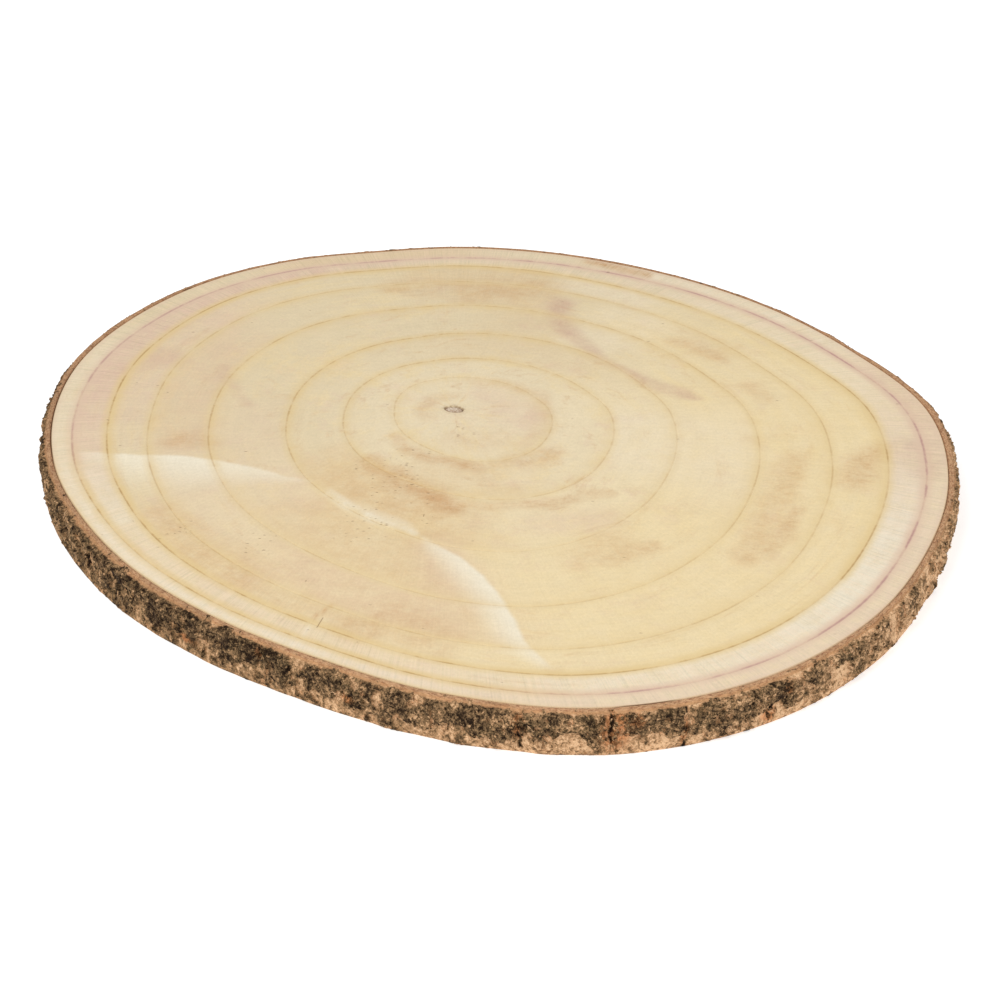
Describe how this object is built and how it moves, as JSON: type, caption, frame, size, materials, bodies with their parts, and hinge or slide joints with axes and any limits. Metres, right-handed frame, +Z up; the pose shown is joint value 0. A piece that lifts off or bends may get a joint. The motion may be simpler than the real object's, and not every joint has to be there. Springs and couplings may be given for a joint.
{
  "type": "wood slice",
  "caption": "Round cross-cut slice of pale timber with its bark on, lying flat on its sawn underside.",
  "frame": {"origin": "middle of the bounding box, on the surface that the slice lies on", "axes": "+Z up out of the upper sawn face, +X along the slice's greatest width, to the right in the picture, +Y away from the picture's camera"},
  "size_m": [0.3963, 0.3872, 0.02],
  "materials": {
    "wood": "pale sawn and sanded end grain, matt",
    "bark": "rough dark brown bark, tan where its outer layer is missing"
  },
  "bodies": {
    "root": {"wood_slice": "wood"}
  },
  "joints": []
}
